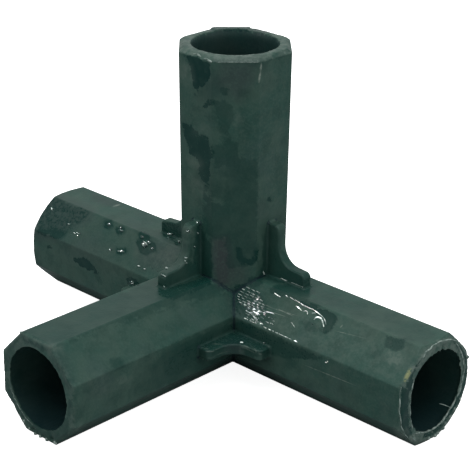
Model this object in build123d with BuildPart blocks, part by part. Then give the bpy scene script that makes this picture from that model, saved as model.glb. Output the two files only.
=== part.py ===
"""Four-way tube connector: one moulded piece that joins tubes at a corner post.

Three level arms lie in one plane, two of them in line, and a fourth stands upright on their crossing.
Every arm is an eight-sided sleeve with a round, blind socket. Five L-shaped webs stiffen the inner
corners between neighbouring arms.

Millimetres. The origin is on the surface that the level arms rest on, straight below the point where
the arm axes cross. +Z runs up the upright arm, +X along the right in-line arm, -Y along the front arm.
"""
from build123d import *
import os
from math import atan2, cos, degrees, radians

os.makedirs("parts", exist_ok=True)

# Sockets
tube_diameter = 16.0
tube_clearance = 0.4
gap_between_sockets = 2.2

# Arms, with their reach measured from the crossing of the axes
arm_sides = 8
arm_wall = 2.05
in_line_reach = 52.2
front_reach = 51.4
upright_reach = 55.7
upright_flare = 1.0

# Mouths: a turned cone eases the two in-line ones, and a chamfer the other two
eased_mouth_step = 0.5
eased_mouth_length = 1.0
front_mouth_chamfer = 0.4
upright_mouth_chamfer = 0.95

# Webs in the inner corners, each leg's straight crest measured past the curve in its corner
web_thickness = 2.2
web_height = 3.3
web_tip_height = 2.9
web_corner_radius = 3.8
web_level_leg = 2.75
web_upright_leg = 4.05
web_tip_radius = 1.1
web_crest_radius = 0.35
web_root_radius = 0.5

# Worked out from the sizes above
socket_radius = (tube_diameter + tube_clearance) / 2
socket_floor = socket_radius + gap_between_sockets
half_flats = socket_radius + arm_wall
corner_distance = half_flats / cos(radians(180 / arm_sides))
crossing = Vector(0, 0, half_flats)

# Each arm's plane stands on the crossing of the axes, its normal pointing out along the arm
right_plane = Plane(origin=crossing, x_dir=(0, 1, 0), z_dir=(1, 0, 0))
left_plane = Plane(origin=crossing, x_dir=(0, -1, 0), z_dir=(-1, 0, 0))
front_plane = Plane(origin=crossing, x_dir=(1, 0, 0), z_dir=(0, -1, 0))
upright_plane = Plane(origin=crossing, x_dir=(1, 0, 0), z_dir=(0, 0, 1))
arm_reaches = [
    (right_plane, in_line_reach),
    (left_plane, in_line_reach),
    (front_plane, front_reach),
    (upright_plane, upright_reach),
]


def arm_section(plane):
    """Eight-sided section of an arm, standing on one of its flats."""
    with BuildSketch(plane) as section:
        RegularPolygon(half_flats, arm_sides, major_radius=False, rotation=180 / arm_sides)
    return section.sketch


def make_arm(plane, start, reach, flare, mouth_chamfer):
    """One arm as a solid bar, from a start along its plane's normal out to its chamfered mouth.

    It stands on its own start section, and is wider than that by the flare at its mouth.
    """
    length = reach - start
    foot = plane.offset(start)
    outward = Axis(plane.origin, plane.z_dir)
    with BuildPart() as arm:
        extrude(arm_section(foot), amount=length)
        if flare:
            sides = arm.faces().sort_by(outward)[1:-1]
            draft(sides, foot, -degrees(atan2(flare, 2 * length)))
        chamfer(arm.faces().sort_by(outward)[-1].edges(), mouth_chamfer)
    return arm.part


def make_web(first_leg, second_leg):
    """L-shaped web between two arms that run along local X and local Y from the crossing."""
    crest = half_flats + web_height
    tip = half_flats + web_tip_height
    first_reach = crest + web_corner_radius + first_leg
    second_reach = crest + web_corner_radius + second_leg
    with BuildPart() as web:
        with BuildSketch():
            with BuildLine():
                FilletPolyline(
                    (first_reach, 0),
                    (first_reach, tip),
                    (crest, crest),
                    (tip, second_reach),
                    (0, second_reach),
                    radius=[web_tip_radius, web_corner_radius, web_tip_radius],
                )
                Polyline((0, second_reach), (0, 0), (first_reach, 0))
            make_face()
        extrude(amount=web_thickness / 2, both=True)
        rims = web.faces().filter_by(Axis.Z).edges()
        standing_clear = [rim for rim in rims if min(rim.center().X, rim.center().Y) > 0]
        fillet(standing_clear, web_crest_radius)
    return web.part


level_web = make_web(web_level_leg, web_level_leg)
upright_web = make_web(web_level_leg, web_upright_leg)

# Each web stands in the plane of the two arms whose inner corner it fills
web_places = [
    (level_web, Plane(origin=crossing, x_dir=(1, 0, 0), z_dir=(0, 0, -1))),
    (level_web, Plane(origin=crossing, x_dir=(-1, 0, 0), z_dir=(0, 0, 1))),
    (upright_web, Plane(origin=crossing, x_dir=(1, 0, 0), z_dir=(0, -1, 0))),
    (upright_web, Plane(origin=crossing, x_dir=(-1, 0, 0), z_dir=(0, 1, 0))),
    (upright_web, Plane(origin=crossing, x_dir=(0, -1, 0), z_dir=(-1, 0, 0))),
]

with BuildPart() as connector_body:
    # The two in-line arms are one straight bar, both mouths eased by a cone
    extrude(arm_section(right_plane), amount=in_line_reach, both=True)
    with BuildSketch(Plane(origin=crossing, x_dir=(1, 0, 0), z_dir=(0, -1, 0))):
        with BuildLine():
            Polyline(
                (0, 0),
                (in_line_reach, 0),
                (in_line_reach, half_flats - eased_mouth_step),
                (in_line_reach - eased_mouth_length, corner_distance),
                (0, corner_distance),
                close=True,
            )
        make_face()
        mirror(about=Plane.YZ)
    revolve(axis=Axis(crossing, (1, 0, 0)), mode=Mode.INTERSECT)

    # Front arm, straight all the way
    add(make_arm(front_plane, 0, front_reach, 0, front_mouth_chamfer))

    # Upright arm, straight inside the bar and from there a little wider towards its mouth
    extrude(arm_section(upright_plane), amount=half_flats)
    add(make_arm(upright_plane, half_flats, upright_reach, upright_flare, upright_mouth_chamfer))

    # Webs, each with a small fillet all round its root
    for web, place in web_places:
        with Locations(place):
            add(web)
        fillet(edges(Select.NEW), web_root_radius)

    # Blind sockets, cut from each mouth down to its floor
    for plane, reach in arm_reaches:
        with BuildSketch(plane.offset(socket_floor)):
            Circle(socket_radius)
        extrude(amount=reach - socket_floor, mode=Mode.SUBTRACT)

connector_body.part.label = "connector_body"
export_step(connector_body.part, "parts/connector_body.step")
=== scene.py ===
"""Four-way tube connector in dark green moulded plastic, wet and worn as it was photographed."""
from math import cos, hypot, pi, radians, sin

import bmesh
import bpy
from mathutils import Matrix, Vector, noise
from mathutils.bvhtree import BVHTree


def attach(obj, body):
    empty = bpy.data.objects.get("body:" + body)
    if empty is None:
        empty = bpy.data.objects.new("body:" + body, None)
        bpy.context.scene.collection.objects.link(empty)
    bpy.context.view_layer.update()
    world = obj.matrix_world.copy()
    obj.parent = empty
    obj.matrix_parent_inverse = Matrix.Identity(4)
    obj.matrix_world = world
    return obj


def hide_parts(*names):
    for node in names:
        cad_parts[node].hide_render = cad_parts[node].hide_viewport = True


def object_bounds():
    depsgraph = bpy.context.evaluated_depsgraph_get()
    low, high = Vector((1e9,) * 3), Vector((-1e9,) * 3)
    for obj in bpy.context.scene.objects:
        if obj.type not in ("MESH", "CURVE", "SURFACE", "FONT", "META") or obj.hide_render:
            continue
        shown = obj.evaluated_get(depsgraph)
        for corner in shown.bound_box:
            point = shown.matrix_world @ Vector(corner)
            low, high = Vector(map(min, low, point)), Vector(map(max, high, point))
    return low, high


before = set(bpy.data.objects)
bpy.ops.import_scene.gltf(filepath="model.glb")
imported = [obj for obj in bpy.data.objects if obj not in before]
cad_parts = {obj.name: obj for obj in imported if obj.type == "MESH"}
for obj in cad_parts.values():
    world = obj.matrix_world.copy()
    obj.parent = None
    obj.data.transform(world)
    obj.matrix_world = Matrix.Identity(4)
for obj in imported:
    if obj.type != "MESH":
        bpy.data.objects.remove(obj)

cad_low, cad_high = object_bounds()
MM = 0.001

# The camera.
# It stands where the photograph was taken from, above the corner between the front and the right arm.
# Its place comes from a fit to the outline and creases of the photographed part.
PHOTO_SIDE = 470
FOCAL_PIXELS = 1574.65
camera_azimuth = 0.768127
camera_elevation = 0.404392
camera_roll = 0.009417
camera_distance = 322.705 * MM
camera_target = Vector((-3.631, 4.199, 23.201)) * MM

look_back = Vector((
    sin(camera_azimuth) * cos(camera_elevation),
    -cos(camera_azimuth) * cos(camera_elevation),
    sin(camera_elevation),
))
level_right = Vector((cos(camera_azimuth), sin(camera_azimuth), 0))
level_up = look_back.cross(level_right)
look_right = level_right * cos(camera_roll) + level_up * sin(camera_roll)
look_up = level_up * cos(camera_roll) - level_right * sin(camera_roll)
eye = camera_target + look_back * camera_distance

camera = bpy.data.objects.new("camera", bpy.data.cameras.new("camera"))
film_width = 36
camera.data.sensor_width = film_width
camera.data.lens = FOCAL_PIXELS / PHOTO_SIDE * film_width
camera.data.clip_start = 0.01
camera.data.clip_end = 10
turn = Matrix((look_right, look_up, look_back)).transposed()
camera.matrix_world = Matrix.Translation(eye) @ turn.to_4x4()
bpy.context.scene.collection.objects.link(camera)
bpy.context.scene.camera = camera
bpy.context.scene.view_settings.view_transform = "Standard"

# The moulded body.
# One piece of dark green polyethylene: four eight-sided sleeves and five corner webs, shot in one mould.
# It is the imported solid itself, joined up, with its long edges eased and its mouths left rough from trimming.
edge_ease = 0.22 * MM
trim_depth = 1.8 * MM
bore_radius = 8.2 * MM
half_flats = 10.25 * MM
crossing = Vector((0, 0, half_flats))
arms = {
    "right": (Vector((1, 0, 0)), cad_high.x),
    "left": (Vector((-1, 0, 0)), -cad_low.x),
    "front": (Vector((0, -1, 0)), -cad_low.y),
    "upright": (Vector((0, 0, 1)), cad_high.z - half_flats),
}

body = bmesh.new()
body.from_mesh(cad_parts["connector_body"].data)
bmesh.ops.remove_doubles(body, verts=body.verts, dist=1e-6)
bmesh.ops.dissolve_limit(body, angle_limit=radians(0.5), verts=body.verts, edges=body.edges)

shortest_corner = 1.5 * MM
flattest_corner, sharpest_corner = radians(30), radians(100)
mouth_margin = 1.5 * MM
at_mouth = 0.01 * MM


def eased(edge):
    """Whether an edge is a corner between two flats, away from the mouths."""
    if len(edge.link_faces) != 2 or edge.calc_length() < shortest_corner:
        return False
    for out, reach in arms.values():
        reached = [(vert.co - crossing).dot(out) for vert in edge.verts]
        if min(reached) > reach - mouth_margin or any(abs(far - reach) < at_mouth for far in reached):
            return False
    return flattest_corner < edge.calc_face_angle() < sharpest_corner


bmesh.ops.bevel(
    body,
    geom=[edge for edge in body.edges if eased(edge)],
    offset=edge_ease,
    offset_type="OFFSET",
    affect="EDGES",
    segments=3,
    profile=0.5,
    material=-1,
    clamp_overlap=True,
)
surface = BVHTree.FromBMesh(body)


def sight(x, y):
    """The line of sight from the camera through the photograph's pixel (x, y)."""
    line = look_right * (x - PHOTO_SIDE / 2) - look_up * (y - PHOTO_SIDE / 2) - look_back * FOCAL_PIXELS
    return line.normalized()


def spot(x, y):
    """Where pixel (x, y) lies on the body, or nearest to it, and the way the surface faces there."""
    line = sight(x, y)
    place, facing, _, _ = surface.ray_cast(eye, line)
    if place is None:
        depths = range(220, 400, 2)
        close = [surface.find_nearest(eye + line * depth * MM) for depth in depths]
        place, facing = min(close, key=lambda found: found[3])[:2]
    return place, facing


def on_plane(x, y, place, facing):
    """Where the line of sight through pixel (x, y) meets the plane through a place."""
    line = sight(x, y)
    return eye + line * ((place - eye).dot(facing) / line.dot(facing))


def lie(x0, y0, x1, y1, width):
    """How a mark from pixel (x0, y0) to (x1, y1) lies on the body: its middle, half sides and facing."""
    middle_x, middle_y = (x0 + x1) / 2, (y0 + y1) / 2
    long_side = Vector((x1 - x0, y1 - y0)).length
    step_x, step_y = -(y1 - y0) / long_side * width / 2, (x1 - x0) / long_side * width / 2
    middle, facing = spot(middle_x, middle_y)
    end = on_plane(x1, y1, middle, facing)
    side = on_plane(middle_x + step_x, middle_y + step_y, middle, facing)
    return middle, end - middle, side - middle, facing


# The mouths, where the sprues and flash were trimmed off by hand: the rims are cut fine here and left rough.
# Each nick is a pixel of the photograph with its half width and depth in millimetres.
rim_sectors = 160
rim_nicks = {
    "upright": [
        (278, 38, 0.7, 0.35), (212, 57, 0.5, 0.2), (292, 52, 0.4, 0.25),
    ],
    "right": [
        (445, 347, 0.9, 0.5), (458, 356, 0.6, 0.3), (461, 363, 0.5, 0.4), (437, 440, 0.6, 0.3),
        (446, 432, 0.5, 0.35), (409, 404, 0.5, 0.3), (410, 420, 0.5, 0.3), (411, 430, 0.5, 0.3),
        (455.5, 404, 0.4, 0.4), (451, 411, 0.5, 0.45), (446.5, 418, 0.4, 0.35), (441, 425.5, 0.5, 0.5),
        (434, 432.5, 0.6, 0.5), (427, 437, 0.4, 0.35),
    ],
    "front": [
        (13, 404, 0.5, 0.2), (22, 418, 0.5, 0.35), (27, 424.5, 0.4, 0.3), (33, 430.5, 0.6, 0.5),
        (37.5, 434.3, 0.4, 0.35), (43, 437, 0.5, 0.45), (51.5, 441, 0.6, 0.6),
    ],
    "left": [],
}

# How worn each rim is, and in millimetres how deep the wear goes, how far the rim is cut back, how much
# wider the bore opens, how ragged its edges are, and how rough its end is
rims = {
    "upright": {"worn": 0.5, "depth": 1.15, "cut_back": 0.27, "bell": 0.5, "ragged": 0.25, "rough": 0.08},
    "right": {"worn": 0.62, "depth": 0.55, "cut_back": 0.12, "bell": 0.0, "ragged": 0.5, "rough": 0.22},
    "front": {"worn": 0.22, "depth": 0.5, "cut_back": 0.1, "bell": 0.0, "ragged": 0.3, "rough": 0.22},
    "left": {"worn": 0.5, "depth": 0.5, "cut_back": 0.1, "bell": 0.0, "ragged": 0.3, "rough": 0.22},
}
# Flash that narrows the right bore: a pixel of its middle, then its half length and thickness in millimetres
bore_flash = {"right": [(409, 409, 6.0, 0.75), (460, 383, 5.5, 0.45)]}
bore_flash_depth = 0.9 * MM
# The lip of flash left standing at the back of the upright rim, between two pixels
flash_lip = ((210.5, 25.5), (252, 28.5))
# How far out a nick also bites into the outer edge, and the bands of wear along a rim's two edges
nicked_from = bore_radius + 1.2 * MM
bore_band = 0.5 * MM
edge_band = 1.2 * MM
wear_fade = 0.3 * MM

# Where the body is cut finer, so that its surface can carry the wear and the patches
beside_webs = 2.1 * MM
rim_cuts = [0.15, 0.4, 0.8, 1.2, trim_depth / MM]
unseen_cuts = [10.7, 11.3, 12.5, 14.5, 17.0, 20.0, 20.7, 24.0, 29.0, 35.0, 42.0]
patch_step = 0.65 * MM
sides_from = 0.6 * half_flats
last_step_at = 0.7 * half_flats
long_spoke = 0.8 * MM
wear_and_bore_shade_layer = body.verts.layers.float.new("rim_wear_and_bore_shade")


def arm_of(point):
    """The arm that a point belongs to."""
    return max(arms, key=lambda arm: (point - crossing).dot(arms[arm][0]))


def with_edges(faces):
    """Faces together with their corners and edges, as the cuts want them."""
    return list({v for f in faces for v in f.verts}) + list({e for f in faces for e in f.edges}) + faces


def cut(parts, place, facing):
    """Parts of the body cut by a plane, and what they are afterwards."""
    return bmesh.ops.bisect_plane(body, geom=parts, dist=1e-7, plane_co=place, plane_no=facing)["geom"]


for across in (Vector((1, 0, 0)), Vector((0, 1, 0)), Vector((0, 0, 1))):
    for off in (-beside_webs, beside_webs):
        cut(body.verts[:] + body.edges[:] + body.faces[:], crossing + across * off, across)

for arm, (out, reach) in arms.items():
    mouth = crossing + out * reach
    for depth in rim_cuts:
        cut(body.verts[:] + body.edges[:] + body.faces[:], mouth - out * depth * MM, out)
    end = with_edges([
        f for f in body.faces
        if all((v.co - mouth).dot(out) > -trim_depth - 1e-6 for v in f.verts)
    ])
    side = out.orthogonal().normalized()
    spokes = [
        Matrix.Rotation(pi * (sector + 0.5) / (rim_sectors // 2), 3, out) @ side
        for sector in range(rim_sectors // 2)
    ]
    for turned in spokes:
        end = cut(end, mouth, turned)
    flat_spokes = [
        e for e in end
        if isinstance(e, bmesh.types.BMEdge) and e.is_valid
        and all(abs((v.co - mouth).dot(out)) < 1e-6 for v in e.verts)
        and abs((e.verts[0].co - mouth).length - (e.verts[1].co - mouth).length) > long_spoke
    ]
    bmesh.ops.subdivide_edges(body, edges=flat_spokes, cuts=4, use_grid_fill=True)

    for step in unseen_cuts:
        ring = with_edges([f for f in body.faces if arm_of(f.calc_center_median()) == arm])
        cut(ring, crossing + out * step * MM, out)
    sides = with_edges([
        f for f in body.faces
        if (eye - f.calc_center_median()).dot(f.normal) > 0
        and arm_of(f.calc_center_median()) == arm
        and sides_from < (f.calc_center_median() - crossing).dot(out) < reach - trim_depth
    ])
    for step in range(1, int((reach - trim_depth - last_step_at) / patch_step)):
        sides = cut(sides, mouth - out * (trim_depth + step * patch_step), out)
    for turned in spokes:
        sides = cut(sides, mouth, turned)

    rim = rims[arm]
    lip_start, lip_end = (on_plane(*pixel, mouth, out) - mouth for pixel in flash_lip)
    nicks = [(on_plane(x, y, mouth, out), half * MM, deep * MM) for x, y, half, deep in rim_nicks[arm]]
    for vert in body.verts:
        depth = (mouth - vert.co).dot(out)
        if depth > trim_depth - 1e-6:
            continue
        fade = (1 - max(depth, 0) / trim_depth) ** 2
        spoke = vert.co - mouth + out * depth
        radius = spoke.length
        spoke.normalize()
        around = spoke * radius / MM
        rough = noise.noise(around * 0.45) * 0.6 + noise.noise(around * 1.3 + out) * 0.4
        cut_back = rim["cut_back"] * MM
        if arm == "upright":
            from_lip = spoke.angle((lip_start + lip_end).normalized()) / lip_start.angle(lip_end) * 2
            if from_lip < 1:
                cut_back = 0
                rough = -1
        inward = cut_back + rim["rough"] * MM * max(0, rough + 0.25)
        nicked = sum(deep * max(0, 1 - (vert.co - place).length / half) for place, half, deep in nicks)
        if radius > nicked_from:
            vert.co -= spoke * nicked
        vert.co -= out * (inward + nicked) * fade
        at_bore = max(0, 1 - abs(radius - bore_radius) / bore_band)
        for x, y, half, thick in bore_flash.get(arm, []):
            near = max(0, 1 - ((vert.co - on_plane(x, y, mouth, out)).length / (half * MM)) ** 2)
            vert.co -= spoke * near * at_bore * thick * MM * max(0, 1 - depth / bore_flash_depth)
        vert.co += spoke * at_bore * fade * rim["bell"] * MM
        at_edge = max(0, 1 - abs(radius - half_flats) / edge_band)
        ragged = noise.noise(around * 1.1 + out * 3) + 0.6 * noise.noise(around * 2.3)
        ragged = max(0, ragged) * rim["ragged"] * MM
        vert.co -= spoke * fade ** 2 * (at_bore * ragged + at_edge * ragged)
        vert[wear_and_bore_shade_layer] = rim["worn"] * min(1, max(0, (rim["depth"] * MM - depth) / wear_fade))

# Wet, speckled, stained and whitened patches are traced along the photograph's pixels, each with its
# strength, and noted on the mesh, where the finish reads them. A few of the wet patches are painted shade,
# and one whitened patch is partly painted light
wet_and_shade_patches = [
    # On the upright arm
    (1.0, [(188, 55), (195, 57), (205, 61), (211, 64), (211, 79), (206, 83), (203, 88), (199, 86), (198, 92),
        (194, 88), (192, 78), (190, 66)]),
    (0.6, [(182, 53), (196, 56), (206, 61), (200, 66), (190, 66), (185, 60)]),
    (0.6, [(193, 91), (197, 93), (198, 97), (194, 96)]),
    (0.8, [(204, 103), (208, 99), (214, 99), (214, 103), (209, 106), (206, 109), (203, 108)]),
    (0.5, [(210, 98), (221, 100), (222, 107), (216, 109), (212, 106)]),
    (0.6, [(220, 88), (224, 87), (231, 88), (230, 92), (226, 96), (222, 97), (219, 93)]),
    (0.45, [(223, 97), (233, 106), (233, 120), (229, 135), (222, 133), (218, 122), (216, 112), (220, 108)]),
    (0.88, [(181, 122), (190, 124), (196, 131), (200, 135), (208, 136), (209, 145), (212, 152), (210, 165),
        (211, 178), (207, 184), (202, 181), (198, 176), (199, 166), (195, 157), (190, 155), (188, 146),
        (185, 137)]),
    (0.6, [(203, 184), (209, 186), (207, 196), (212, 194), (212, 200), (207, 204), (204, 203)]),
    (0.45, [(210, 146), (222, 144), (226, 138), (238, 142), (240, 152), (236, 165), (215, 170)]),
    (0.45, [(226, 160), (258, 158), (258, 262), (228, 270), (222, 225)]),
    (0.5, [(203, 205), (214, 202), (228, 206), (230, 232), (222, 240), (212, 240), (206, 232), (203, 222)]),
    (0.9, [(237, 249), (240, 249), (242, 257), (246, 260), (251, 261), (254, 257), (256, 251), (259, 252),
        (257, 261), (251, 266), (244, 264), (239, 260)]),
    (0.9, [(268, 197), (272, 197), (272, 202), (268, 202)]),
    (0.6, [(212, 59), (245, 60.5), (268, 56.5), (290, 47), (292, 50), (282, 58), (262, 62), (240, 63),
        (212, 62)]),
    # On the three webs beside the upright arm
    (0.6, [(276, 250), (284, 250), (292, 262), (303, 270), (312, 276), (310, 281), (296, 277), (284, 270),
        (277, 262)]),
    (0.55, [(262, 238), (268, 224), (276, 224), (281, 236), (281, 262), (290, 272), (309, 282), (309, 288),
        (285, 284), (258, 279), (262, 262)]),
    (0.6, [(198, 222), (203, 226), (206, 236), (212, 244), (212, 278), (203, 280), (194, 274), (193, 250),
        (197, 232)]),
    (0.4, [(183, 244), (192, 243), (191, 258), (184, 262), (176, 264)]),
    (0.75, [(161, 221), (181, 223), (183, 238), (168, 240), (163, 236), (161, 228)]),
    (0.8, [(174, 240), (182, 244), (178, 247), (174, 244)]),
    # The next two are painted shadow under the web's foot and on its side
    (0.8, [(160, 284), (172, 289), (205, 279), (214, 282), (190, 293), (172, 298), (160, 294)]),
    (0.55, [(158, 275), (165, 272), (190, 260), (200, 268), (213, 281), (190, 291), (170, 297),
        (159, 293)]),
    # On the left arm
    (0.75, [(50, 198), (60, 199), (78, 208), (87, 212), (84, 219), (74, 224), (66, 232), (60, 238), (40, 233),
        (36, 226), (42, 212)]),
    (0.85, [(38, 231), (50, 228.5), (62, 232), (63, 235), (56, 237), (45, 235)]),
    (0.95, [(73, 258.5), (79, 257), (86, 258), (91, 262), (95, 268), (97, 272.5), (92, 271.5), (84, 268.5),
        (77, 264)]),
    (0.5, [(93, 267), (98, 272), (102, 279), (102, 285), (98, 281), (93, 274)]),
    (0.8, [(47, 245), (52, 245), (52, 249), (47, 249)]),
    (0.35, [(98, 199), (112, 203), (121, 203), (118, 207), (108, 206), (100, 202)]),
    (0.85, [(106, 223), (111, 221.5), (111.5, 226), (108, 227.5), (105.5, 226)]),
    (0.85, [(117, 229), (122, 227.5), (124, 229.5), (122, 233), (118, 233)]),
    (0.95, [(118, 250), (125, 249.5), (125, 251.5), (120.5, 253.5), (118, 252.5)]),
    (0.9, [(140, 233), (143, 232), (148, 235), (149, 241), (154.5, 245), (155, 250), (151, 251.5), (147, 254),
        (141, 251.5), (137.5, 242), (141, 240)]),
    (0.85, [(126, 279), (131, 277), (138, 280), (141, 284), (134, 287), (127, 284)]),
    (0.2, [(54, 197), (160, 232), (165, 270), (120, 268), (34, 232)]),
    # On the front arm
    (0.35, [(140, 372), (163, 350), (180, 342), (203, 332), (216, 327), (228, 326), (224, 348), (208, 356),
        (198, 370), (183, 383), (165, 388), (145, 395)]),
    (0.5, [(152, 370), (165, 356), (181, 347), (203, 337), (214, 332), (222, 330), (218, 346), (205, 352),
        (196, 366), (181, 378), (165, 381), (155, 386)]),
    (0.65, [(165, 364), (181, 352), (200, 343), (212, 337), (208, 346), (200, 352), (190, 364), (179, 372),
        (167, 375)]),
    (0.2, [(70, 345), (120, 330), (140, 345), (120, 385), (85, 392)]),
    (0.6, [(111, 361), (119, 360), (122, 366), (115, 368)]),
    (0.5, [(18, 330), (95, 302), (158, 278), (215, 284), (232, 290), (180, 303), (52, 346)]),
    (0.2, [(52, 346), (180, 303), (232, 290), (236, 320), (70, 385)]),
    (0.5, [(196, 350), (205, 346), (240, 320), (240, 362), (213, 367), (196, 372), (181, 381)]),
    # On the level web
    (0.5, [(246, 349), (262, 351), (263, 358), (250, 358)]),
    (0.75, [(201, 345), (212, 341), (226, 337), (236, 333), (238, 341), (228, 344), (222, 347.5), (214, 350),
        (203, 349)]),
    (0.75, [(238, 333), (252, 341), (264, 347), (263, 352), (255, 350), (247, 346.5), (241, 343)]),
    (0.6, [(241, 346), (252, 351), (257, 354), (254, 358), (246, 354), (240, 351)]),
    # On the right arm
    (0.65, [(225, 325), (240, 320), (262, 330), (285, 340), (310, 352), (325, 360), (300, 360), (270, 352),
        (240, 345), (222, 340)]),
    (0.5, [(297, 296), (316, 299), (322, 306), (312, 309), (299, 305)]),
    (0.6, [(246, 278), (262, 276), (264, 285), (250, 288)]),
    (0.3, [(300, 283), (330, 290), (400, 320), (440, 330), (425, 346), (380, 328), (320, 303)]),
    (0.3, [(262, 345), (282, 352), (300, 362), (285, 372), (262, 362)]),
    (0.9, [(300, 303), (312, 305), (337, 315), (337, 320), (333, 328), (330, 332), (326, 335), (320, 332),
        (324, 326), (321, 318), (312, 312)]),
    (0.6, [(269, 287), (285, 283), (313, 289), (313, 298), (300, 301), (285, 297), (270, 293)]),
    (0.75, [(234, 284), (247, 284), (241, 294), (238, 305), (241, 316), (234, 312)]),
    (0.5, [(240, 288), (256, 289), (262, 296), (266, 306), (276, 318), (262, 325), (243, 317), (238, 303)]),
    (0.5, [(300, 320), (312, 322), (322, 330), (316, 334), (303, 330)]),
    (0.7, [(386, 336), (405, 340), (404, 350), (392, 352), (384, 346)]),
    (0.3, [(370, 350), (384, 350), (382, 360), (371, 358)]),
    # On and in the mouths
    # The next patch is painted shade on the front bore's underside
    (0.6, [(10, 388), (17, 402), (30, 420), (44, 429), (58, 430), (65, 415), (67, 400), (72, 400), (68, 438),
        (52, 441), (34, 432), (18, 412), (6, 392)]),
    (0.6, [(4, 352), (12, 337), (20, 338), (12, 350), (10, 372), (4, 372)]),
    (0.6, [(20, 332), (27, 340), (38, 343), (48, 349), (44, 351), (34, 346), (24, 342)]),
    (0.4, [(63, 378), (72, 380), (70, 389), (66, 389)]),
    (1.0, [(401.5, 387), (409.5, 388), (408.5, 405), (409.5, 425), (413, 437), (406, 440), (400.5, 425),
        (400, 405)]),
    (1.0, [(408, 391), (404.5, 386), (408, 379), (411.5, 372), (416, 364), (420, 358), (423, 358), (417, 368),
        (413.5, 378), (412.5, 391)]),
    (0.9, [(452, 339), (460, 345), (467, 356), (468.5, 368), (467.5, 380), (464.5, 392), (459.5, 402),
        (453, 412), (447, 420), (442, 428), (433, 435), (424, 438), (424, 434), (433, 430), (441, 423.5),
        (446, 415.5), (451.5, 406.5), (457.5, 397.5), (462, 387.5), (464, 376.5), (465, 366), (464, 358),
        (456, 346)]),
    (0.75, [(206, 25), (262, 26), (270, 33), (262, 34), (234, 31), (208, 33)]),
]
speckled_patches = [
    (1.0, [(46, 192), (62, 194), (95, 208), (92, 224), (70, 230), (58, 228), (30, 227), (30, 212)]),
]
stained_patches = [
    (0.55, [(44, 190), (60, 194), (82, 205), (92, 211), (88, 221), (74, 228), (60, 240), (30, 238),
        (28, 212)]),
    (0.7, [(222, 340), (242, 339), (244, 350), (237, 358), (228, 352)]),
    (0.9, [(213, 238), (228, 236), (232, 262), (230, 284), (218, 288), (213, 270)]),
    (0.5, [(222, 62), (256, 62), (254, 80), (238, 100), (226, 90), (214, 84)]),
    (0.6, [(94, 194), (112, 200), (120, 204), (104, 202), (95, 198)]),
    (0.4, [(232, 300), (250, 310), (246, 322), (234, 318)]),
    (0.4, [(258, 205), (262, 205), (262, 216), (258, 216)]),
    (0.8, [(225, 341), (239, 341), (240, 348), (227, 348)]),
    (0.35, [(201, 345), (236, 334), (264, 347), (262, 353), (236, 344), (203, 350)]),
    (0.5, [(228, 262), (246, 266), (250, 282), (232, 286)]),
    (0.35, [(20, 336), (60, 346), (72, 384), (60, 372), (52, 352), (22, 342)]),
    (0.3, [(60, 240), (95, 232), (110, 250), (100, 262), (70, 258)]),
    (0.4, [(138, 246), (180, 243), (182, 264), (165, 272), (140, 264)]),
]
whitened_patches = [
    (0.35, [(184, 228.5), (192, 229), (193, 233), (186, 232.5)]),
    (0.14, [(184, 233), (191, 233), (191, 242), (185, 244)]),
    (0.14, [(138, 246), (180, 243), (182, 264), (165, 272), (140, 264)]),
    (0.06, [(263, 75), (284, 75), (281, 215), (262, 215)]),
    (0.4, [(396, 427), (405, 429), (411, 440), (404, 443), (396, 439)]),
    # The next patch, on the right arm's upper front flat, is partly dust and partly painted light
    (0.11, [(290, 294), (422, 348), (399, 388), (262, 328)]),
    (0.25, [(190, 160), (197, 158), (201, 164), (199, 169), (193, 165)]),
    (0.25, [(182, 64), (190, 66), (192, 80), (186, 84), (181, 76)]),
    (0.2, [(196, 128), (206, 130), (198, 134), (195, 132)]),
    (0.2, [(189, 175), (200, 182), (203, 192), (195, 190)]),
    (0.35, [(404, 383), (402, 386), (408, 378), (411, 370), (413, 366), (412, 374)]),
    (0.9, [(410, 436), (414, 434), (418, 439), (416, 443), (411, 441)]),
    (0.3, [(50, 344), (62, 346), (60, 350), (50, 347)]),
    (0.3, [(74, 424), (79, 424), (79, 430), (75, 430)]),
    (0.3, [(390, 354), (399, 355), (398, 361), (390, 360)]),
    (0.2, [(235, 113), (240, 117), (238, 124), (233, 121)]),
    (0.2, [(118, 380), (128, 378), (126, 384), (118, 385)]),
    (0.15, [(90, 378), (106, 376), (108, 390), (96, 396)]),
]


def inside_by(x, y, outline):
    """How many pixels a point lies inside an outline, or less than zero outside it."""
    inside, nearest = False, 1000.0
    for (x0, y0), (x1, y1) in zip(outline, outline[1:] + outline[:1]):
        if (y0 > y) != (y1 > y) and x < (x1 - x0) * (y - y0) / (y1 - y0) + x0:
            inside = not inside
        along = ((x - x0) * (x1 - x0) + (y - y0) * (y1 - y0)) / ((x1 - x0) ** 2 + (y1 - y0) ** 2)
        along = min(1, max(0, along))
        nearest = min(nearest, hypot(x - x0 - along * (x1 - x0), y - y0 - along * (y1 - y0)))
    return nearest if inside else -nearest


def with_limits(listed, least):
    """Patches with their blur, wider where they are weak, and the limits of the pixels they can reach."""
    made = []
    for full, outline in listed:
        blur = least / full ** 0.8
        across, down = zip(*outline)
        limits = (min(across) - blur, max(across) + blur, min(down) - blur, max(down) + blur)
        made.append((full, outline, blur, *limits))
    return made


def patch_at(x, y, listed):
    """How far in a patch a pixel lies, 0.5 on its outline, and the strength of the strongest patch there."""
    shape, strength = 0.0, 0.0
    for full, outline, blur, x_low, x_high, y_low, y_high in listed:
        if x_low < x < x_high and y_low < y < y_high:
            here = min(1, max(0, 0.5 + inside_by(x, y, outline) / (2 * blur)))
            shape = max(shape, here)
            strength = max(strength, full * min(1, 4 * here))
    return shape, strength


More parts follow.
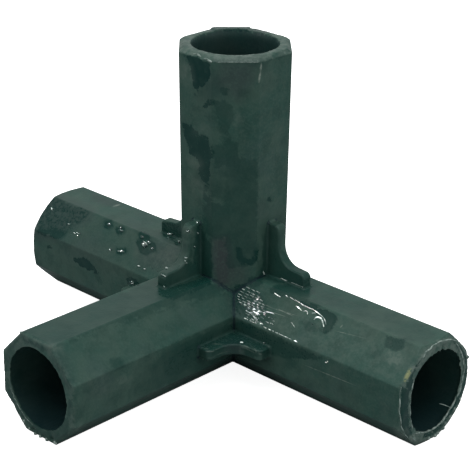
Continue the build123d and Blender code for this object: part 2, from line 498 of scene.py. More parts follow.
bmesh.ops.recalc_face_normals(body, faces=body.faces)
body.normal_update()
patches = body.verts.layers.float_color.new("patches")
tones = body.verts.layers.float_color.new("tones")
wet_and_shade_limits = with_limits(wet_and_shade_patches, 2.5)
stained_limits = with_limits(stained_patches, 4)
whitened_limits = with_limits(whitened_patches, 2)
speckled_limits = with_limits(speckled_patches, 3)
# How far under the traced surface a corner may lie and still be seen, how sharply a crease turns inwards
# for painted shade, and where the painted shade of the bores starts
sight_slack = 1.3 * MM
crease_turn = -0.15
bore_skin = 0.3 * MM
dark_from = 0.32 * MM
for vert in body.verts:
    line = vert.co - eye
    deep = -line.dot(look_back)
    x = PHOTO_SIDE / 2 + line.dot(look_right) / deep * FOCAL_PIXELS
    y = PHOTO_SIDE / 2 - line.dot(look_up) / deep * FOCAL_PIXELS
    hit = surface.ray_cast(eye, line.normalized())[3]
    hidden = vert.normal.dot(line) > 0 or hit is None or hit < line.length - sight_slack
    shape, strength = (0.0, 0.0) if hidden else patch_at(x, y, wet_and_shade_limits)
    stained, stain_strength = (0.0, 0.0) if hidden else patch_at(x, y, stained_limits)
    whitened, white_strength = (0.0, 0.0) if hidden else patch_at(x, y, whitened_limits)
    speckled = 0.0 if hidden else patch_at(x, y, speckled_limits)[0]
    arm = arm_of(vert.co)
    out, reach = arms[arm]
    far = (vert.co - crossing).dot(out)
    off_axis = (vert.co - crossing - out * far).length
    # Inward creases are noted here for painted shade in the finish
    creased = far < reach - 2 * trim_depth and off_axis > 1.05 * bore_radius and any(
        len(e.link_faces) == 2 and e.calc_face_angle_signed() < crease_turn for e in vert.link_edges
    )
    vert[patches] = (shape, strength, float(creased), 1)
    vert[tones] = (stained * stain_strength, whitened * white_strength, float(hidden), speckled)
    # Below zero the layer marks the inside of a bore for painted shade, darker towards its underside
    if off_axis < bore_radius + bore_skin and far < reach - dark_from:
        low = max(0, -(vert.co - crossing).z / bore_radius)
        vert[wear_and_bore_shade_layer] = -1.25 if arm == "upright" else -0.8 - low

surface = BVHTree.FromBMesh(body)
body_mesh = bpy.data.meshes.new("moulded_body")
body.to_mesh(body_mesh)
body.free()
moulded_body = bpy.data.objects.new("moulded_body", body_mesh)
bpy.context.scene.collection.objects.link(moulded_body)
body_mesh.shade_smooth()
body_mesh.set_sharp_from_angle(angle=radians(35))
weigh = moulded_body.modifiers.new("weigh", "WEIGHTED_NORMAL")
weigh.keep_sharp = True
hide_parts("connector_body")
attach(moulded_body, "root")

# The plastic's finish: green pigment, greyish where it is dry and dusty and deep teal where it is wet, with
# painted shade in its creases, bores and under a web. Thin scratches and scuffs, and pale lines that are
# painted highlights, are laid on the surface where the photograph shows them, each from one pixel to another,
# with its width in pixels and its strength.
scratch_and_highlight_lines = [
    # The first eleven lines, on the level web, are painted highlights of its glossy crest and ledge
    (209, 352.5, 222, 347.5, 0.8, 0.22), (213, 356.5, 228, 350.5, 0.8, 0.25),
    (243, 347, 256, 353.5, 0.8, 0.25), (258, 352, 261.5, 355, 1.5, 0.25), (206, 358.5, 216, 357.5, 1.0, 0.2),
    (213, 343.4, 222, 344.8, 1.0, 0.3), (205, 351.6, 215, 351.6, 1.2, 0.3), (201, 347.6, 209, 349, 0.9, 0.25),
    (244, 345.6, 249, 347.4, 1.0, 0.35), (251, 345.6, 257, 351, 1.0, 0.3),
    (258, 352.4, 260.4, 354.4, 1.8, 0.4), (307, 366, 353, 384.5, 0.9, 0.5), (332, 330, 356, 336, 0.9, 0.5),
    (261.4, 64, 260.6, 71, 1.8, 1.0), (260.8, 70, 259.2, 82, 1.8, 1.0), (113, 206.5, 120, 204.5, 1.5, 0.7),
    # The five lines from (269, 307) to (278, 309) are painted highlights of water
    (269, 307, 298, 316, 0.8, 0.6), (262, 309, 290, 318, 0.7, 0.5), (256, 301.5, 271, 307, 0.7, 0.5),
    (258, 304.5, 270, 309.5, 0.6, 0.45), (278, 309, 292, 315.5, 1.0, 0.8), (24, 376, 39, 377, 8, 0.08),
    (340, 328, 343, 324.5, 1.3, 0.6), (356, 336, 368, 339, 0.8, 0.3),
]
# A yellowish mark beside the right mouth
tinge = [(404.5, 382, 411, 369, 3.4, 0.8)]


def add_node(tree, kind, feed=None, **settings):
    """A shader node with its settings, and values or links for its sockets."""
    made = tree.nodes.new(kind)
    for name, value in settings.items():
        setattr(made, name, value)
    for name, value in (feed or {}).items():
        if isinstance(value, bpy.types.NodeSocket):
            tree.links.new(value, made.inputs[name])
        else:
            made.inputs[name].default_value = value
    return made


def noise_at(tree, place, feature, detail=3.0, rough=0.55):
    """Smooth noise whose features are so many millimetres across."""
    made = add_node(tree, "ShaderNodeTexNoise", {
        "Vector": place, "Scale": 1000 / feature, "Detail": detail, "Roughness": rough,
    })
    return made.outputs["Fac"]


def between(tree, value, low, high, to_low=0.0, to_high=1.0):
    """A value stretched from one range to another, eased at both ends."""
    made = add_node(tree, "ShaderNodeMapRange", {
        "Value": value, "From Min": low, "From Max": high, "To Min": to_low, "To Max": to_high,
    }, interpolation_type="SMOOTHSTEP")
    return made.outputs["Result"]


def calc(tree, operation, one, other=0.0):
    """One sum with two numbers."""
    return add_node(tree, "ShaderNodeMath", {0: one, 1: other}, operation=operation).outputs[0]


def tint(tree, share, one, other):
    """A colour between two others."""
    made = add_node(tree, "ShaderNodeMix", {"Factor": share}, data_type="RGBA")
    for socket, value in ((made.inputs[6], one), (made.inputs[7], other)):
        if isinstance(value, bpy.types.NodeSocket):
            tree.links.new(value, socket)
        else:
            socket.default_value = (*value, 1)
    return made.outputs[2]


mark_group = bpy.data.node_groups.new("mark_on_surface", "ShaderNodeTree")
for name in ("Place", "Middle", "Along", "Across", "Out"):
    mark_group.interface.new_socket(name, in_out="INPUT", socket_type="NodeSocketVector")
for name in ("Edge", "Strength"):
    mark_group.interface.new_socket(name, in_out="INPUT", socket_type="NodeSocketFloat")
mark_group.interface.new_socket("Mask", in_out="OUTPUT", socket_type="NodeSocketFloat")
group_in = mark_group.nodes.new("NodeGroupInput")
group_out = mark_group.nodes.new("NodeGroupOutput")
away = add_node(mark_group, "ShaderNodeVectorMath", {
    0: group_in.outputs["Place"], 1: group_in.outputs["Middle"],
}, operation="SUBTRACT")
parts = []
for name in ("Along", "Across", "Out"):
    part = add_node(mark_group, "ShaderNodeVectorMath", {
        0: away.outputs[0], 1: group_in.outputs[name],
    }, operation="DOT_PRODUCT")
    parts.append(part.outputs["Value"])
joined = add_node(mark_group, "ShaderNodeCombineXYZ", dict(enumerate(parts)))
length = add_node(mark_group, "ShaderNodeVectorMath", {0: joined.outputs[0]}, operation="LENGTH")
inner = calc(mark_group, "SUBTRACT", 1.0, group_in.outputs["Edge"])
outer = calc(mark_group, "ADD", 1.0, group_in.outputs["Edge"])
mask = between(mark_group, length.outputs["Value"], inner, outer, 1.0, 0.0)
mask = calc(mark_group, "MULTIPLY", mask, group_in.outputs["Strength"])
mark_group.links.new(mask, group_out.inputs["Mask"])

# How far a mark reaches off the plane it is laid on
mark_depth = 0.8 * MM


def marks(tree, place, listed, edge):
    """One mask for many marks, each given by its two end pixels, its width in pixels and its strength."""
    whole = None
    for x0, y0, x1, y1, width, strength in listed:
        middle, along, across, facing = lie(x0, y0, x1, y1, width)
        over, under = across.cross(facing), facing.cross(along)
        mask = add_node(tree, "ShaderNodeGroup", {
            "Place": place,
            "Middle": middle,
            "Along": over / along.dot(over),
            "Across": under / across.dot(under),
            "Out": facing / mark_depth,
            "Edge": edge,
            "Strength": strength,
        }, node_tree=mark_group).outputs["Mask"]
        whole = mask if whole is None else calc(tree, "MAXIMUM", whole, mask)
    return whole


deep_green = (0.020, 0.062, 0.049)
dusty_green = (0.043, 0.080, 0.063)
slate_green = (0.032, 0.065, 0.058)
dark_green = (0.017, 0.048, 0.038)
pale_mottle = (0.050, 0.085, 0.068)
pale_grain = (0.055, 0.098, 0.080)
purple_stain = (0.032, 0.042, 0.043)
wet_and_shade_teal = (0.0, 0.023, 0.019)
scuff_and_highlight_pale = (0.17, 0.21, 0.18)
rubbed_rim = (0.121, 0.156, 0.137)
yellowish = (0.23, 0.25, 0.12)
shadowed = (0.003, 0.014, 0.019)

plastic = bpy.data.materials.new("moulded_plastic")
plastic.use_nodes = True
tree = plastic.node_tree
shader = tree.nodes["Principled BSDF"]
place = add_node(tree, "ShaderNodeTexCoord").outputs["Object"]
patch_look = add_node(tree, "ShaderNodeAttribute", attribute_name="patches")
patch_parts = add_node(tree, "ShaderNodeSeparateColor", {"Color": patch_look.outputs["Color"]}).outputs
tone_look = add_node(tree, "ShaderNodeAttribute", attribute_name="tones")
tone_parts = add_node(tree, "ShaderNodeSeparateColor", {"Color": tone_look.outputs["Color"]}).outputs
rim_wear_and_bore_shade = add_node(tree, "ShaderNodeAttribute", attribute_name="rim_wear_and_bore_shade").outputs["Fac"]

clouds = noise_at(tree, place, 12, 4, 0.6)
blotches = noise_at(tree, place, 3.5, 4, 0.6)
mottle = noise_at(tree, place, 1.4, 4, 0.65)
grain = noise_at(tree, place, 0.45, 2, 0.5)

# Water and painted shade: the traced patches with ragged edges, of which a few are painted shade under a web
# and in a bore, a thin damp all over, and blotches on the unseen sides
ragged = calc(tree, "SUBTRACT", noise_at(tree, place, 1.5, 6, 0.72), 0.5)
film_and_shade = calc(tree, "ADD", patch_parts["Red"], calc(tree, "MULTIPLY", ragged, 1.9))
film_and_shade = calc(tree, "MULTIPLY", between(tree, film_and_shade, 0.38, 0.68), patch_parts["Green"])
speckle = between(tree, noise_at(tree, place, 0.85, 4, 0.7), 0.4, 0.58, 0.3, 1.0)
unspeckled = calc(tree, "SUBTRACT", 1.0, tone_look.outputs["Alpha"])
film_and_shade = calc(tree, "MULTIPLY", film_and_shade, calc(tree, "MAXIMUM", unspeckled, speckle))
film_and_shade = calc(tree, "MULTIPLY", film_and_shade, between(tree, mottle, 0.35, 0.6, 0.85, 1.0))
damp_blotches = between(tree, noise_at(tree, place, 7, 5, 0.7), 0.57, 0.62, 0.0, 0.7)
unseen = calc(tree, "MULTIPLY", tone_parts["Blue"], damp_blotches)
thin_damp = between(tree, clouds, 0.5, 0.66, 0.0, 0.35)
wet_and_shade = calc(tree, "MAXIMUM", film_and_shade, calc(tree, "MAXIMUM", thin_damp, unseen))

# Wear and painted light: scratches, scuffs and pale lines that are painted highlights, rubbed rims where they
# aren't wet, and painted shade that darkens creases and bores
broken = between(tree, noise_at(tree, place, 0.8, 2, 0.6), 0.35, 0.6, 0.3, 1.0)
scuff_and_highlight = calc(tree, "MULTIPLY", marks(tree, place, scratch_and_highlight_lines, 0.4), broken)
whitened = calc(tree, "MULTIPLY", tone_parts["Green"], between(tree, mottle, 0.4, 0.6, 0.4, 1.0))
scuff_and_highlight = calc(tree, "MAXIMUM", scuff_and_highlight, whitened)
worn = calc(tree, "MULTIPLY", rim_wear_and_bore_shade, between(tree, mottle, 0.38, 0.6, 0.15, 1.0))
worn = calc(tree, "MULTIPLY", worn, calc(tree, "SUBTRACT", 1.0, calc(tree, "MULTIPLY", film_and_shade, 0.85)))
# Painted shade: the insides of the bores, darker towards their undersides
inside = calc(tree, "MULTIPLY", rim_wear_and_bore_shade, -0.46)
crease = calc(tree, "MULTIPLY", patch_parts["Blue"], between(tree, mottle, 0.3, 0.6, 0.5, 0.9))

dry = tint(tree, between(tree, clouds, 0.36, 0.64), deep_green, dusty_green)
dry = tint(tree, between(tree, noise_at(tree, place, 8, 3), 0.5, 0.7, 0.0, 0.6), dry, slate_green)
dry = tint(tree, between(tree, blotches, 0.4, 0.7, 0.0, 0.7), dry, dark_green)
dry = tint(tree, between(tree, mottle, 0.45, 0.75, 0.0, 0.35), dry, pale_mottle)
dry = tint(tree, tone_parts["Red"], dry, purple_stain)
dry = tint(tree, between(tree, grain, 0.4, 0.75, 0.0, 0.3), dry, pale_grain)
colour = tint(tree, wet_and_shade, dry, wet_and_shade_teal)
colour = tint(tree, scuff_and_highlight, colour, scuff_and_highlight_pale)
colour = tint(tree, worn, colour, rubbed_rim)
yellowed = calc(tree, "MULTIPLY", marks(tree, place, tinge, 0.5), between(tree, speckle, 0.4, 0.95))
colour = tint(tree, yellowed, colour, yellowish)
# Painted shade in inward creases and inside the bores
colour = tint(tree, calc(tree, "MAXIMUM", crease, inside), colour, shadowed)
tree.links.new(colour, shader.inputs["Base Color"])

shine = add_node(tree, "ShaderNodeMath", {0: grain, 1: 0.16, 2: 0.40}, operation="MULTIPLY_ADD").outputs[0]
shine = calc(tree, "SUBTRACT", shine, calc(tree, "MULTIPLY", wet_and_shade, 0.30))
shine = calc(tree, "MAXIMUM", shine, calc(tree, "MULTIPLY", crease, 0.9))
shine = calc(tree, "MAXIMUM", shine, 0.08)
tree.links.new(shine, shader.inputs["Roughness"])

height = calc(tree, "MULTIPLY", grain, calc(tree, "SUBTRACT", 1.0, calc(tree, "MULTIPLY", wet_and_shade, 0.8)))
height = calc(tree, "ADD", height, calc(tree, "MULTIPLY", blotches, 3.0))
bump = add_node(tree, "ShaderNodeBump", {"Height": height, "Strength": 0.35, "Distance": 0.00006})
tree.links.new(bump.outputs["Normal"], shader.inputs["Normal"])
shader.inputs["Specular IOR Level"].default_value = 0.15
body_mesh.materials.append(plastic)

# The trimmed flash: thin whitened lips and whiskers of the same plastic, left along the mouths by the knife,
# and two pale streaks on the upright rim's front left edge that are painted highlights.
# They are grown together with the body, half sunk in its rims. Each line is a width in pixels and its pixels,
# and each nib a pixel and a radius in millimetres.
flash_and_highlight_lines = {
    "right": [
        (1.2, [(421, 360), (426, 352), (434, 345), (442, 340.5), (450, 339), (457, 340.5)]),
        (1.6, [(455.5, 343), (460, 350), (463, 359), (463.5, 366), (462.3, 376), (460.5, 387), (456, 397),
            (450, 406), (445, 414.5), (440, 422.5), (433, 428.5), (424, 432.5), (415, 433)]),
        (1.2, [(402, 388), (400.7, 396), (400.2, 405), (400, 415), (401.3, 425), (404, 433), (408, 438)]),
        (4.2, [(411.3, 435.5), (413.2, 438), (415, 440.3)]),
        (1.5, [(413, 380), (411, 390), (410, 400), (409.8, 410), (410.3, 420), (412, 429)]),
    ],
    "upright": [
        # The first two are painted highlights on the rim's front left edge
        (1.6, [(192, 52.2), (196, 53), (199.5, 54.8)]),
        (1.8, [(202.5, 56.2), (206, 57.6), (209.5, 59.3)]),
        (0.6, [(200, 50.6), (212, 54), (226, 55.6), (240, 55.8), (254, 54.6)]),
        (0.6, [(216, 61.3), (226, 61.8), (238, 61.9), (250, 61.5), (260, 59.5)]),
    ],
    "front": [(0.5, [(11.5, 387), (15, 397), (20, 408), (26, 417), (33, 425)])],
}
whisker_width = 1.1
whisker = [(439.5, 403.7), (445, 404.8), (451.5, 408)]
flash_nibs = [
    (459.5, 398.5, 0.35), (454.3, 408.6, 0.4), (449.8, 416.2, 0.35), (445, 423.2, 0.4), (442.8, 428, 0.4),
    (437.5, 432.8, 0.35), (435, 435, 0.45), (428.5, 438, 0.35), (467.2, 357, 0.4), (21, 332.6, 0.28),
    (24.5, 421, 0.35), (30, 428, 0.3), (35.5, 433.5, 0.35), (40.5, 436.2, 0.35), (47, 439.3, 0.4),
    (55.5, 442.5, 0.4),
]

# Half a ball, cut flat, that every bead of water is stretched from
bead_mesh = bpy.data.meshes.new("bead")
bead = bmesh.new()
bmesh.ops.create_uvsphere(bead, u_segments=16, v_segments=12, radius=1)
whole_ball = bead.verts[:] + bead.edges[:] + bead.faces[:]
bmesh.ops.bisect_plane(bead, geom=whole_ball, dist=1e-4, plane_no=(0, 0, 1), clear_inner=True)
bmesh.ops.holes_fill(bead, edges=[e for e in bead.edges if e.is_boundary])
bead.to_mesh(bead_mesh)
bead.free()

flash_and_highlights, water_drops, ripples_and_glints = bmesh.new(), bmesh.new(), bmesh.new()


def lay_bead(lump, x0, y0, x1, y1, width, tall):
    """One rounded lump between two pixels, as wide as given, and so many millimetres tall."""
    middle, along, across, facing = lie(x0, y0, x1, y1, width)
    shape = Matrix((along, across, facing * tall * MM)).transposed().to_4x4()
    before = len(lump.verts)
    lump.from_mesh(bead_mesh)
    lump.verts.ensure_lookup_table()
    bmesh.ops.transform(lump, matrix=Matrix.Translation(middle) @ shape, verts=lump.verts[before:])


def lay_run(strands, places, width):
    """A thin strand through some places, so many pixels wide, and fine at both ends."""
    line = bpy.data.curves.new("run", "CURVE")
    line.dimensions = "3D"
    line.bevel_depth = 1
    line.bevel_resolution = 3
    line.use_fill_caps = True
    spline = line.splines.new("NURBS")
    spline.points.add(len(places) - 1)
    for point, place in zip(spline.points, places):
        point.co = (*place, 1)
        point.radius = width / 2 * camera_distance / FOCAL_PIXELS * (1 + 0.6 * noise.noise(place * 900))
    spline.points[0].radius *= 0.5
    spline.points[-1].radius *= 0.5
    spline.order_u = 3
    spline.use_endpoint_u = True
    shown = bpy.data.objects.new("run", line)
    made = bpy.data.meshes.new_from_object(shown)
    strands.from_mesh(made)
    bpy.data.objects.remove(shown)
    bpy.data.meshes.remove(made)
    bpy.data.curves.remove(line)


def rim_spot(arm, x, y, stand_out=0.0):
    """Where pixel (x, y) lies on an arm's mouth, or so many millimetres outside the rim nearest to it."""
    out, reach = arms[arm]
    place = on_plane(x, y, crossing + out * (reach - 0.3 * MM), out)
    near = surface.find_nearest(place)[0]
    return near + (place - near).normalized() * min(stand_out * MM, (place - near).length)


waver_step = 2.5
waver = 0.9
for arm, lines in flash_and_highlight_lines.items():
    for width, pixels in lines:
        wavering = []
        for (x0, y0), (x1, y1) in zip(pixels, pixels[1:]):
            pieces = max(1, round(hypot(x1 - x0, y1 - y0) / waver_step))
            for piece in range(pieces):
                share = piece / pieces
                x, y = x0 + (x1 - x0) * share, y0 + (y1 - y0) * share
                wavering.append((x + noise.noise((x, y, 0.5)) * waver, y + noise.noise((x, y, 9.5)) * waver))
        lay_run(flash_and_highlights, [rim_spot(arm, *pixel) for pixel in wavering + pixels[-1:]], width)
for x, y, half in flash_nibs:
    nib = rim_spot(arm_of(spot(x, y)[0]), x, y, half * 0.6)
    bmesh.ops.create_icosphere(flash_and_highlights, subdivisions=2, radius=half * MM, matrix=Matrix.Translation(nib))
whisker_root = rim_spot("right", *whisker[-1])
right_out = arms["right"][0]
lay_run(flash_and_highlights, [on_plane(*pixel, whisker_root, right_out) for pixel in whisker], whisker_width)

box_margin = 0.01 * MM


def small_piece(name, shape, deep, pale, shine):
    """A small piece on the body, between a deep and a pale tone, with its own roughness."""
    for vert in shape.verts:
        vert.co = Vector(
            min(max(at, low + box_margin), high - box_margin)
            for at, low, high in zip(vert.co, cad_low, cad_high)
        )
    bmesh.ops.remove_doubles(shape, verts=shape.verts, dist=2e-7)
    bmesh.ops.recalc_face_normals(shape, faces=shape.faces)
    mesh = bpy.data.meshes.new(name)
    shape.to_mesh(mesh)
    shape.free()
    mesh.shade_smooth()
    mesh.set_sharp_from_angle(angle=radians(60))
    piece = bpy.data.objects.new(name, mesh)
    bpy.context.scene.collection.objects.link(piece)
    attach(piece, "root")
    finish = bpy.data.materials.new(name)
    finish.use_nodes = True
    tree = finish.node_tree
    shader = tree.nodes["Principled BSDF"]
    place = add_node(tree, "ShaderNodeTexCoord").outputs["Object"]
    colour = tint(tree, between(tree, noise_at(tree, place, 0.8), 0.35, 0.65), deep, pale)
    tree.links.new(colour, shader.inputs["Base Color"])
    shader.inputs["Roughness"].default_value = shine
    shader.inputs["IOR"].default_value = 1.5
    mesh.materials.append(finish)
    return piece


small_piece("trimmed_flash_and_highlights", flash_and_highlights, (0.05, 0.09, 0.075), (0.25, 0.31, 0.28), 0.45)

# Water on the plastic: drops, a rippled patch by the upright arm's foot, and short runs along the creases.
# The drops lie on the surface as dark green caps that take glints from two small lamps; the ripples, bright
# points and runs are pale pieces, painted highlights of the water.
# Each drop goes from one pixel to another, with its width in pixels and its height in millimetres.
drops = [
    (142, 243, 147, 247, 5, 0.45), (146, 241, 151, 244, 4, 0.3), (140, 236, 144, 238, 3, 0.25),
    (150, 248, 154, 249, 3, 0.2), (107, 223.5, 110.5, 225.5, 3.4, 0.22), (118, 230, 123.5, 231, 3, 0.22),
    (109, 249, 112, 250, 2.5, 0.25), (118.5, 251, 124.5, 252, 3.4, 0.26), (129.5, 281, 134, 283.6, 3.2, 0.24),
    (120, 229, 122, 227, 2.4, 0.22), (52, 207, 53, 210, 1.6, 0.2), (69, 224, 70, 225, 1.5, 0.15),
    (169, 234, 171, 234, 2.2, 0.25), (171.5, 234, 173.5, 234, 2.2, 0.25), (178, 242, 180, 242, 2.4, 0.25),
    (168, 237, 170, 238, 2, 0.2), (325, 362, 328, 362, 2.2, 0.15), (263.5, 343, 265.5, 343, 1.8, 0.2),
    (184.5, 257, 187, 257.5, 2.2, 0.3), (160.5, 275, 163.5, 276, 1.6, 0.25),
    (186.5, 230, 190, 231.5, 2.2, 0.25), (138, 266.5, 140.5, 266.5, 1.6, 0.15),
    (144, 269, 146, 269.5, 1.5, 0.15), (152, 268, 153, 268, 1.2, 0.1), (160, 267, 161, 267, 1.2, 0.1),
    (165, 269, 167, 269, 1.2, 0.1), (157, 271, 158, 271, 1.2, 0.1), (74, 233, 75.5, 234, 1.2, 0.12),
    (71, 232, 72, 233, 1.2, 0.12), (77, 235, 78, 236, 1.2, 0.12), (80, 233, 81, 234, 1.2, 0.12),
    (312, 323.5, 313.5, 324.5, 1.3, 0.12),
]
for drop in drops:
    lay_bead(water_drops, *drop)


def scatter(seed, step, low, high):
    """A number between low and high that is the same for the same seed and step."""
    return low + (high - low) * (noise.cell(Vector((seed * 7.31 + 0.5, step * 3.77 + 0.5, 1.5))) * 0.5 + 0.5)


# Ripples: short pale dashes, painted highlights, in rows on the right arm's top, beside the upright arm, each
# with its dark trough.
# A row is its first pixel and its number of dashes.
dash_step_x, dash_step_y = 4.7, 2.1
trough_x, trough_y = -0.3, 1.1
arm_slope = 0.52
ripple_rows = [
    (246.5, 287, 3), (242, 288.7, 4), (240.5, 291.2, 5), (238.5, 293.4, 6), (237.3, 295.8, 6),
    (237.6, 298.6, 6), (239, 301.5, 6), (243.5, 304.2, 4), (247.5, 306.8, 3),
]
for row, (row_x, row_y, dashes) in enumerate(ripple_rows):
    for column in range(dashes):
        step = row * 8 + column
        x = row_x + column * dash_step_x + scatter(1, step, -0.6, 0.6)
        y = row_y + column * dash_step_y + scatter(2, step, -0.3, 0.3)
        length = scatter(4, step, 2.6, 4.4)
        width = scatter(11, step, 0.38, 0.75) * (1 - column * 0.07)
        end_x, end_y = x + length, y + length * arm_slope
        lay_bead(ripples_and_glints, x, y, end_x, end_y, width, 0.12)
        lay_bead(water_drops, x + trough_x, y + trough_y, end_x + trough_x, end_y + trough_y, 1.1, 0.07)

# Splashes under them, pale pieces that are painted highlights, in two bands that follow the arm's slope. A band
# is the seed of its draws, where it begins and ends across, its top there and its fall, then the ranges of a
# splash's length, slope and width in pixels, and its height in millimetres.
splash_bands = [
    (5, 245, 262, 308.5, 0.5, (1.2, 4.2), (0.1, 0.8), (0.28, 0.62), 0.12),
    (14, 256, 274, 312, 0.4, (0.8, 2.0), (-0.4, 0.9), (0.3, 0.5), 0.08),
]
for seed, x_from, x_to, y_from, fall, lengths, slopes, widths, tall in splash_bands:
    for step in range(20):
        x = scatter(seed, step, x_from, x_to)
        y = y_from + (x - x_from) * fall + scatter(seed + 1, step, 0, 9)
        length = scatter(seed + 2, step, *lengths)
        slope = scatter(seed + 3, step, *slopes)
        lay_bead(ripples_and_glints, x, y, x + length, y + length * slope, scatter(seed + 4, step, *widths), tall)

# Pale points of water along the crease under them, painted highlights
crease_x, crease_y, crease_slope = 244, 318, 0.455
for step in range(20):
    x = crease_x + step * 2.7 + scatter(10, step, -1.2, 1.2)
    length = scatter(12, step, 1.2, 3.4)
    y = crease_y + (x - crease_x) * crease_slope
    end_y = crease_y + (x - crease_x + length) * crease_slope
    lay_bead(ripples_and_glints, x, y, x + length, end_y, scatter(13, step, 0.5, 1.3), 0.2)

# Painted glints: pale points where a bead would catch the light, each from one pixel to another with its
# width in pixels
bright_points = [
    (109.8, 248.5, 110.8, 251, 1.6), (51.5, 207.5, 52.5, 210.5, 1.4), (167.5, 234, 169.5, 234.2, 1.5),
    (170, 234.3, 171.8, 234, 2.0), (178, 241.8, 180.5, 242, 1.2), (186.5, 230.5, 189.5, 231.8, 0.6),
    (163.5, 285.5, 165, 287, 0.4), (197, 232, 198, 234, 0.5), (194, 246, 195, 247, 0.5),
    (185.8, 262.5, 187, 263, 0.6), (184.5, 257.5, 187, 257.8, 1.6), (184.5, 260.8, 186, 261, 0.8),
    (161, 274, 166, 276.8, 0.8), (196.3, 222.6, 198, 223.2, 1.5), (118, 251.5, 121, 251.3, 1.0),
    (138, 266, 140.5, 266.5, 1.2), (144, 269, 146, 269.3, 0.8), (165, 268, 168.5, 268, 1.2),
    (74, 232.5, 75.5, 234, 0.9), (76.5, 232.5, 79, 233.8, 0.8), (68, 224, 70.5, 224.5, 1.2),
    (131, 283, 134, 283.3, 1.0), (263.7, 342.8, 265, 343.2, 0.8), (325.5, 361.5, 327.5, 362.5, 0.5),
    (263, 271, 264, 275, 0.6),
]
for point in bright_points:
    lay_bead(ripples_and_glints, *point, 0.3)
# More painted glints: one flat pale point on the level web and three tall ones on the biggest drop, with
# their heights in millimetres
other_points = [
    (239.9, 342.2, 243.3, 342.4, 1.4, 0.08),
    (142.3, 243.2, 145.2, 247.8, 1.5, 0.62), (145.3, 242, 147.6, 245.8, 1.0, 0.62),
    (144, 241.5, 145, 243, 0.6, 0.62),
]
for point in other_points:
    lay_bead(ripples_and_glints, *point)

# Pale runs at the edges of the water, painted highlights, each a width in pixels and the pixels it passes
runs = [
    (0.9, [(246, 310.5), (249, 312.5), (251, 313.5)]), (0.9, [(251.5, 314), (254, 317), (257.5, 320)]),
    (0.9, [(253, 311.5), (257, 313), (260, 315)]), (1.1, [(274.5, 293.2), (277, 295), (280.5, 297)]),
    (0.9, [(286, 295.4), (288.4, 297.6)]), (0.6, [(289.6, 297), (292.5, 298.6), (295.5, 301)]),
    (1.1, [(296, 306), (299, 307.6), (301.6, 310.8)]),
    (1.0, [(303, 311.6), (305.4, 310.6), (307.8, 311.8), (307.4, 314.4)]),
    (1.5, [(312.2, 313.4), (314, 312.6), (316, 313.2)]),
    (0.6, [(295, 299.6), (300.4, 303.4), (306.5, 306.8), (312.7, 309.2)]),
    (0.8, [(312.7, 309.2), (318.8, 313.4), (323.6, 317.6), (325.6, 321.6), (326, 324.6)]),
    (0.9, [(281, 278.2), (287, 281)]), (0.9, [(291, 282.3), (303, 287)]),
    (0.9, [(264.5, 311), (268, 312), (274, 314)]), (0.6, [(291.5, 322), (293, 325), (295, 327.5)]),
    (1.7, [(314, 320), (314.9, 318), (317.6, 317), (320.8, 317.9), (322.8, 321), (323.8, 327)]),
]
for width, pixels in runs:
    lay_run(ripples_and_glints, [spot(*pixel)[0] for pixel in pixels], width)
bpy.data.meshes.remove(bead_mesh)

drop_piece = small_piece("water_drops", water_drops, (0.002, 0.022, 0.018), (0.006, 0.040, 0.033), 0.07)
# The ripples' pale tones are painted highlights of water
ripple_and_glint_piece = small_piece("water_ripples_and_glints", ripples_and_glints, (0.12, 0.19, 0.17), (0.85, 0.95, 0.90), 0.12)

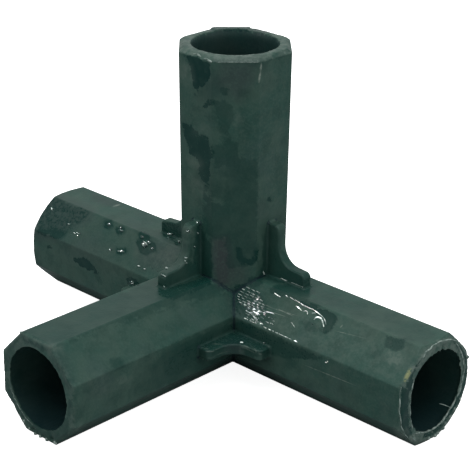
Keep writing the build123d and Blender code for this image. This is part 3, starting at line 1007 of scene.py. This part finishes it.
# The floor and the light.
# A plain pale table under a wide soft panel overhead, with weaker ones at the front left, the back left, the
# right and the front. Two small lamps reach only the water, for its glints.
half_table = 2.5
floor_mesh = bpy.data.meshes.new("floor")
ground = bmesh.new()
bmesh.ops.create_grid(ground, x_segments=1, y_segments=1, size=half_table)
ground.to_mesh(floor_mesh)
ground.free()
floor = bpy.data.objects.new("floor", floor_mesh)
bpy.context.scene.collection.objects.link(floor)
paper = bpy.data.materials.new("pale_table")
paper.use_nodes = True
tree = paper.node_tree
shader = tree.nodes["Principled BSDF"]
shader.inputs["Roughness"].default_value = 0.9
# Seen directly the table is as pale as the photograph's background, and it throws less light back up
table_seen = (0.9, 0.9, 0.9)
table_lit = (0.28, 0.31, 0.325)
seen = add_node(tree, "ShaderNodeLightPath").outputs["Is Camera Ray"]
tree.links.new(tint(tree, seen, table_lit, table_seen), shader.inputs["Base Color"])
tree.links.new(calc(tree, "MULTIPLY", seen, 0.9), shader.inputs["Emission Strength"])
shader.inputs["Emission Color"].default_value = (1, 1, 1, 1)
floor_mesh.materials.append(paper)


def panel(name, direction, distance, width, power, only=None):
    """A square soft light that looks at the part from a direction, or lights only some pieces of it."""
    light = bpy.data.lights.new(name, "AREA")
    light.shape = "SQUARE"
    light.size = width
    light.energy = power
    lamp = bpy.data.objects.new(name, light)
    lamp.location = crossing + Vector(direction).normalized() * distance
    lamp.rotation_mode = "QUATERNION"
    lamp.rotation_quaternion = Vector(direction).to_track_quat("Z", "Y")
    bpy.context.scene.collection.objects.link(lamp)
    if only:
        lamp.light_linking.receiver_collection = only
        lamp.visible_diffuse = False


panel("overhead", (0, 0, 1), 1.2, 1.4, 13.1)
panel("left_window", (-0.35, -0.75, 0.55), 0.8, 0.4, 1.1)
panel("back_window", (-0.62, 0.66, 0.42), 0.9, 0.6, 0.25)
panel("right_fill", (0.95, 0.15, 0.30), 0.9, 0.6, 2.2)
panel("front_fill", (-0.15, -0.95, 0.30), 0.9, 0.6, 0.4)
glints = bpy.data.collections.new("glints")
glints.objects.link(drop_piece)
glints.objects.link(ripple_and_glint_piece)
panel("lamp_one", (-0.63, -0.20, 0.75), 0.9, 0.02, 40, glints)
panel("lamp_two", (-0.58, -0.32, 0.75), 0.9, 0.02, 40, glints)

world = bpy.data.worlds.new("studio")
world.use_nodes = True
world.node_tree.nodes["Background"].inputs["Color"].default_value = (0.84, 0.87, 0.87, 1)
world.node_tree.nodes["Background"].inputs["Strength"].default_value = 0.5
bpy.context.scene.world = world
